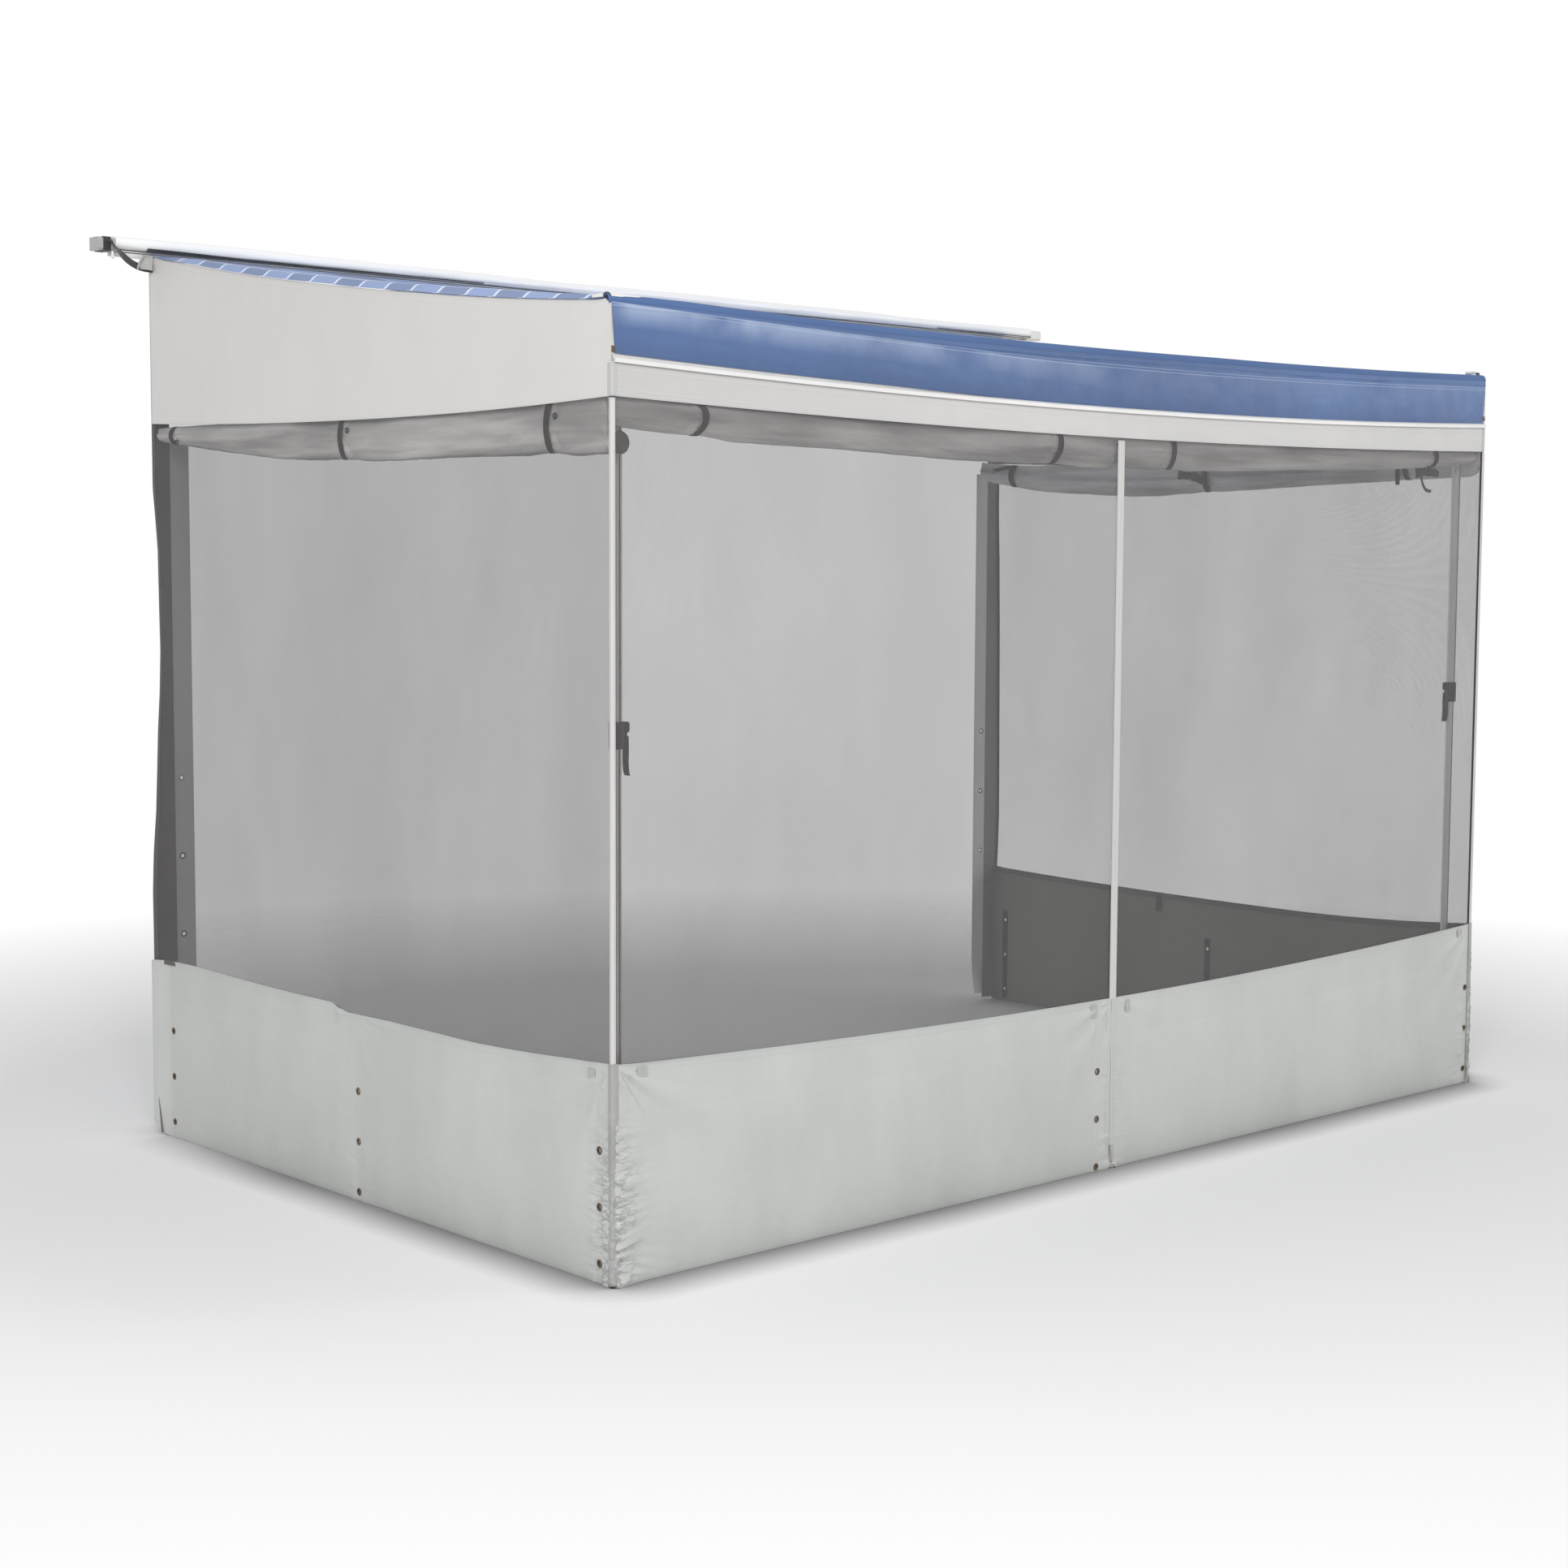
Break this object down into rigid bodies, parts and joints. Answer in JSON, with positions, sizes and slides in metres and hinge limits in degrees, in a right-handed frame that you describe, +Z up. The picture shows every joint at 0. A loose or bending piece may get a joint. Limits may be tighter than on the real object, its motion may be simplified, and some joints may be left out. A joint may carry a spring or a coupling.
{
  "type": "screen room",
  "caption": "Insect screen room hung under a roll-out bag awning, with vinyl skirts, rolled curtains, zips, telescoping legs and rafters.",
  "frame": {"origin": "on the ground under the middle of the room", "axes": "+X along the front to the right as seen from the front, +Y to the rear rail, +Z up"},
  "size_m": [3.959, 2.1458, 2.6094],
  "materials": {
    "white_metal": "white powder coat",
    "bare_metal": "plain zinc",
    "grey_plastic": "moulded",
    "dark_plastic": "moulded",
    "dark_rubber": "moulded",
    "bag_vinyl": "coated vinyl",
    "white_vinyl": "coated vinyl",
    "grey_vinyl": "coated vinyl",
    "blue_canopy": "coated vinyl",
    "insect_mesh": "woven mesh",
    "curtain_fabric": "plain weave",
    "dark_fabric": "webbing",
    "white_tape": "zip tape"
  },
  "bodies": {
    "root": {"wall_rail": "white_metal", "rail_cap_left": "grey_plastic", "rail_cap_right": "grey_plastic", "storage_bag": "bag_vinyl", "bag_zip": "dark_fabric", "bag_strap_left": "dark_fabric", "canopy": "blue_canopy", "front_valance": "blue_canopy", "front_beam": "white_metal", "beam_cap_left": "dark_plastic", "beam_cap_right": "dark_plastic", "header_band": "white_vinyl", "corner_return_left": "white_vinyl", "corner_return_right": "white_vinyl", "gable_left": "white_vinyl", "gable_right": "white_vinyl", "screen_left": "insect_mesh", "screen_right": "insect_mesh", "screen_front_left": "insect_mesh", "screen_front_right": "insect_mesh", "skirt_left": "grey_vinyl", "skirt_right": "grey_vinyl", "skirt_front_left": "grey_vinyl", "skirt_front_right": "grey_vinyl", "wall_seal_left": "dark_fabric", "wall_seal_right": "dark_fabric", "wall_flap_left": "grey_vinyl", "wall_flap_right": "grey_vinyl", "roll_left": "curtain_fabric", "roll_right": "curtain_fabric", "roll_front_left": "curtain_fabric", "roll_front_right": "curtain_fabric", "corner_zip_left": "white_tape", "corner_zip_right": "white_tape", "centre_zip": "white_tape", "wall_bracket_left": "white_metal", "wall_bracket_right": "white_metal", "rafter_inner_left": "white_metal", "rafter_inner_right": "white_metal", "leg_bracket_left": "white_metal", "leg_bracket_right": "white_metal"},
    "left_leg": {"leg_head_left": "dark_plastic", "leg_upper_left": "white_metal", "leg_clamp_left": "dark_plastic"},
    "left_leg_inner": {"leg_lower_left": "white_metal", "foot_left": "dark_rubber"},
    "left_clamp_lever": {"leg_lever_left": "dark_plastic"},
    "right_leg": {"leg_head_right": "dark_plastic", "leg_upper_right": "white_metal", "leg_clamp_right": "dark_plastic"},
    "right_leg_inner": {"leg_lower_right": "white_metal", "foot_right": "dark_rubber"},
    "right_clamp_lever": {"leg_lever_right": "dark_plastic"},
    "left_rafter": {"rafter_outer_left": "white_metal"},
    "left_knob": {"rafter_knob_left": "dark_plastic"},
    "right_rafter": {"rafter_outer_right": "white_metal"},
    "right_knob": {"rafter_knob_right": "dark_plastic"},
    "left_slider": {"zip_slider_left": "bare_metal"},
    "right_slider": {"zip_slider_right": "bare_metal"},
    "centre_slider": {"zip_slider_centre": "bare_metal"}
  },
  "joints": [
    {"name": "left_leg_fold", "type": "hinge", "parent": "root", "child": "left_leg", "pos_m": [-1.7345, -1.00085, 2.175], "axis": [0, -1, 0], "range_deg": [0, 88]},
    {"name": "left_leg_extend", "type": "slide", "parent": "left_leg", "child": "left_leg_inner", "axis": [0, 0, 1], "range_m": [0, 0.58]},
    {"name": "left_clamp_lever", "type": "hinge", "parent": "left_leg", "child": "left_clamp_lever", "pos_m": [-1.7085, -1.00085, 1.305], "axis": [0, 1, 0], "range_deg": [-95, 0]},
    {"name": "right_leg_fold", "type": "hinge", "parent": "root", "child": "right_leg", "pos_m": [1.7345, -1.00085, 2.175], "axis": [0, 1, 0], "range_deg": [0, 88]},
    {"name": "right_leg_extend", "type": "slide", "parent": "right_leg", "child": "right_leg_inner", "axis": [0, 0, 1], "range_m": [0, 0.58]},
    {"name": "right_clamp_lever", "type": "hinge", "parent": "right_leg", "child": "right_clamp_lever", "pos_m": [1.7085, -1.00085, 1.305], "axis": [0, -1, 0], "range_deg": [-95, 0]},
    {"name": "left_rafter_extend", "type": "slide", "parent": "root", "child": "left_rafter", "axis": [0, -0.9918, -0.1276], "range_m": [0, 0.55]},
    {"name": "left_knob_turn", "type": "hinge", "parent": "left_rafter", "child": "left_knob", "pos_m": [-1.6995, -0.14943, 2.31894], "axis": [0, 0.1276, -0.9918], "range_deg": [0, 180]},
    {"name": "right_rafter_extend", "type": "slide", "parent": "root", "child": "right_rafter", "axis": [0, -0.9918, -0.1276], "range_m": [0, 0.55]},
    {"name": "right_knob_turn", "type": "hinge", "parent": "right_rafter", "child": "right_knob", "pos_m": [1.6995, -0.14943, 2.31894], "axis": [0, 0.1276, -0.9918], "range_deg": [0, 180]},
    {"name": "left_zip", "type": "slide", "parent": "root", "child": "left_slider", "axis": [0, 0, 1], "range_m": [0, 1.96]},
    {"name": "right_zip", "type": "slide", "parent": "root", "child": "right_slider", "axis": [0, 0, 1], "range_m": [0, 1.96]},
    {"name": "centre_zip", "type": "slide", "parent": "root", "child": "centre_slider", "axis": [0, 0, 1], "range_m": [0, 1.96]}
  ]
}
